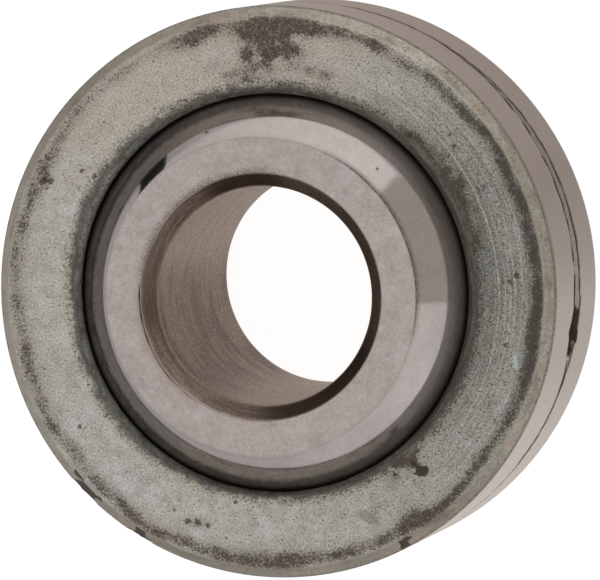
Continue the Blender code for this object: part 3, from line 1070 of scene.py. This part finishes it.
def ball_finish():
    """Ground flat faces, a lapped mirror of a zone, turned chamfers, and the wear on all of them, with
    painted light and shade on the zone, chamfers, rim and edges.
    """
    f = Finish("ground bearing steel")
    grain = f.noise(f.place, 12.0, 4.0, 0.7)
    fine = f.noise(f.place, 30.0, 2.0, 0.6)
    zone = f.mask("zone")
    steel = f.layers(
        flat_steel(f, grain, fine),
        (f.times(f.mask("smear"), f.span(grain, 0.3, 0.7, 0.3, 0.8)), (150, 132, 118)),
        (f.times(f.mask("dusty"), f.span(fine, 0.35, 0.65, 0.15, 0.8)), (84, 76, 70)),
        (f.times(zone, 0.5), (160, 156, 155)),
        # Painted shade on part of the zone, then painted light on the zone towards bearing 212
        (f.times(f.mask("shaded_zone"), 0.50), (102, 102, 110)),
        (f.times(f.span(f.towards(212.0), 0.88, 0.99, 0.0, 0.5), zone), (158, 156, 156)),
        (f.times(f.ragged("zone_speck", grain, 0.8, 0.1, 0.35), 0.8), (84, 72, 64)),
    )
    colour = f.layers(
        f.blend(f.mask("chamfer"), steel, chamfer_steel(f, grain)),
        # Painted highlight along the bore's edge
        (f.times(f.mask("bore_edge"), 0.8), (226, 206, 190)),
        (f.times(f.mask("burr"), 0.95), (46, 39, 33)),
        # Painted highlight on the burr's brim
        (f.times(f.mask("burr_highlight"), 0.4), (178, 166, 156)),
        # Painted shade along the rim's round
        (f.times(f.mask("rim"), f.span(grain, 0.3, 0.6, 0.5, 0.95)), (46, 36, 29)),
    )

    ground = f.span(grain, 0.3, 0.7, 0.34, 0.28)
    lapped = f.span(grain, 0.3, 0.7, 0.105, 0.075)
    lapped = f.math("ADD", lapped, f.span(f.height, *LAPPING_RISE, 0.20, 0.0))
    roughness = f.math("ADD", ground, f.times(zone, f.math("SUBTRACT", lapped, ground)))
    normal = f.bump(f.times(grain, f.math("SUBTRACT", 1.0, zone)), 0.0022)
    f.shader.inputs["Specular Tint"].default_value = BALL_EDGE_TINT
    return f.surface(colour, 1.0, roughness, normal)


def bore_finish():
    """Brown machined steel of the bore, banded round the axis, with painted light that fades towards its
    lower left.
    """
    f = Finish("machined bore")
    grain = f.noise(f.place, 11.0, 4.0, 0.7)
    fine = f.noise(f.place, 24.0, 3.0, 0.7)
    banded = f.noise(f.turned(1.6, 0.0, 1.3), 1.0, 3.0, 0.6)
    scored = f.noise(f.turned(2.5, 0.0, 10.0), 1.0, 4.0, 0.65)
    colour = f.layers(
        f.blend(f.span(banded, 0.38, 0.62), shade(92, 77, 67), shade(150, 131, 118)),
        # Painted light on the bore, strongest away from bearing 207.8
        (f.span(f.towards(207.8), 0.62, 0.99, 0.90, 0.12), (206, 190, 178)),
        (f.span(scored, 0.50, 0.66, 0.0, 0.50), (80, 64, 54)),
        (f.span(scored, 0.32, 0.46, 0.5, 0.0), (172, 155, 143)),
        (f.span(grain, 0.50, 0.68, 0.0, 0.45), (84, 70, 62)),
        (f.span(fine, 0.50, 0.60, 0.0, 0.7), (66, 54, 46)),
        (f.span(fine, 0.38, 0.48, 0.65, 0.0), (200, 182, 168)),
    )
    normal = f.bump(f.math("ADD", grain, fine), 0.004, f.bump(scored, 0.003))
    f.shader.inputs["Specular Tint"].default_value = BORE_EDGE_TINT
    return f.surface(colour, 1.0, f.span(grain, 0.3, 0.7, 0.5, 0.4), normal)


def make_camera():
    """Camera at the photograph's angle: it looks from the eye to the aim, with +Y up in the picture."""
    back = (CAMERA_EYE - CAMERA_AIM).normalized()
    right = Vector((0.0, 1.0, 0.0)).cross(back).normalized()
    up = back.cross(right)
    turn = Matrix((right, up, back)).transposed().to_4x4()
    data = bpy.data.cameras.new("camera")
    data.lens = CAMERA_LENS
    data.sensor_width = CAMERA_SENSOR
    data.clip_start = 0.001
    data.clip_end = 10.0
    camera = bpy.data.objects.new("camera", data)
    camera.matrix_world = Matrix.Translation(CAMERA_EYE * MM) @ turn
    bpy.context.scene.collection.objects.link(camera)
    bpy.context.scene.camera = camera


def make_world():
    """White behind the object, and a soft pale room of uneven light for everything else."""
    world = bpy.data.worlds.new("studio")
    world.use_nodes = True
    bpy.context.scene.world = world
    world.node_tree.nodes.clear()
    n = Nodes(world.node_tree)
    toward = n.add("ShaderNodeTexCoord").outputs["Generated"]
    colour = ROOM_COLOUR
    for direction, wide, full, light in ROOM_LIGHTS:
        nearness = n.vector("DOT_PRODUCT", toward, Vector(direction).normalized())
        lobe = n.span(nearness, math.cos(math.radians(wide)), math.cos(math.radians(full)))
        colour = n.blend(lobe, colour, light)
    room = n.add("ShaderNodeBackground")
    n.feed(room.inputs["Color"], colour)
    white = n.add("ShaderNodeBackground")
    white.inputs["Color"].default_value = (1.0, 1.0, 1.0, 1.0)
    choose = n.add("ShaderNodeMixShader")
    n.feed(choose.inputs[0], n.add("ShaderNodeLightPath").outputs["Is Camera Ray"])
    n.feed(choose.inputs[1], room.outputs[0])
    n.feed(choose.inputs[2], white.outputs[0])
    n.feed(n.add("ShaderNodeOutputWorld").inputs[0], choose.outputs[0])


def stage_panel(name, corners):
    """A flat panel of the studio from its four corners in millimetres, and its empty node tree."""
    mesh = bpy.data.meshes.new(name)
    mesh.from_pydata((np.array(corners, float) * MM).tolist(), [], [(0, 1, 2, 3)])
    panel = bpy.data.objects.new(name, mesh)
    bpy.context.scene.collection.objects.link(panel)
    material = bpy.data.materials.new(name)
    material.use_nodes = True
    material.node_tree.nodes.clear()
    mesh.materials.append(material)
    return panel, Nodes(material.node_tree)


def make_floor():
    """Plain pale floor under the ball: white to the camera, but for the object's faint shadow.

    Polished steel sees it brighter towards one bearing, and far off towards a second, and darker
    and browner near the object towards a third.
    """
    side = FLOOR_HALF_SIDE
    height = cad_box[0][2] / MM
    corners = [(-side, -side, height), (side, -side, height), (side, side, height), (-side, side, height)]
    n = stage_panel("floor", corners)[1]
    path = n.add("ShaderNodeLightPath").outputs
    place = n.place_on_piece()
    distance = n.vector("LENGTH", place)
    way = n.vector("NORMALIZE", n.vector("MULTIPLY", place, (1.0, 1.0, 0.0)))

    bright = n.vector("DOT_PRODUCT", way, Vector(heading(FLOOR_BRIGHT_BEARING)))
    reflected = n.times(n.span(bright, *FLOOR_BRIGHT_RISE, 1.0, 1.0 + FLOOR_BRIGHT_GAIN), FLOOR_REFLECTED)
    far = n.vector("DOT_PRODUCT", way, Vector(heading(FLOOR_FAR_BEARING)))
    far = n.times(n.span(far, *FLOOR_FAR_RISE), n.span(distance, *FLOOR_FAR_DISTANCE))
    reflected = n.math("MULTIPLY_ADD", far, FLOOR_FAR_GAIN * FLOOR_REFLECTED, reflected)
    seen = n.times(path["Is Camera Ray"], FLOOR_SEEN)

    beside = n.vector("DOT_PRODUCT", place, Vector(heading(FLOOR_DIM_BEARING)))
    dim = n.times(n.span(beside, *FLOOR_DIM_RISE), path["Is Glossy Ray"])
    dim = n.times(dim, n.span(distance, *FLOOR_DIM_END, 1.0, 0.0))

    glow = n.add("ShaderNodeEmission")
    n.feed(glow.inputs["Color"], n.blend(dim, FLOOR_WHITE, FLOOR_DIM_TINT))
    n.feed(glow.inputs["Strength"], n.math("MULTIPLY_ADD", path["Is Glossy Ray"], reflected, seen))
    pale = n.add("ShaderNodeBsdfDiffuse")
    pale.inputs["Color"].default_value = FLOOR_PALE
    both = n.add("ShaderNodeAddShader")
    n.feed(both.inputs[0], pale.outputs[0])
    n.feed(both.inputs[1], glow.outputs[0])
    n.feed(n.add("ShaderNodeOutputMaterial").inputs[0], both.outputs[0])


def make_card(name, bearing, distance, half_width, bottom, top, lean, colour, fade=0.0):
    """An upright card that faces the axis, fades towards its far end and shows in polished steel only."""
    outward = heading(bearing)
    aside = heading(bearing + 90.0)
    up = np.array((0.0, 0.0, 1.0))
    left, right = outward * distance - aside * half_width, outward * distance + aside * half_width
    foot = up * bottom - aside * lean
    card, n = stage_panel(name, [left + foot, right + foot, right + up * top, left + up * top])
    if fade:
        across = n.vector("DOT_PRODUCT", n.place_on_piece(), Vector(aside))
        colour = n.blend(n.span(across, half_width - fade, half_width), colour, CARD_FADED)
    glow = n.add("ShaderNodeEmission")
    n.feed(glow.inputs["Color"], colour)
    n.feed(n.add("ShaderNodeOutputMaterial").inputs[0], glow.outputs[0])
    card.visible_camera = False
    card.visible_diffuse = False
    card.visible_shadow = False
    card.visible_transmission = False


make_camera()

ring = make_ring()
ring.data.materials.append(ring_finish())
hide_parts("outer_ring")
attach(ring, "ring")

ball = make_ball()
ball.data.materials.append(ball_finish())
ball.data.materials.append(bore_finish())
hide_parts("inner_ring")
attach(ball, "ball")

make_world()
make_floor()
make_card("tan card", *TAN_CARD)
make_card("dark card", *DARK_CARD)
make_card("bright card", *BRIGHT_CARD)
bpy.context.scene.view_settings.view_transform = "Standard"
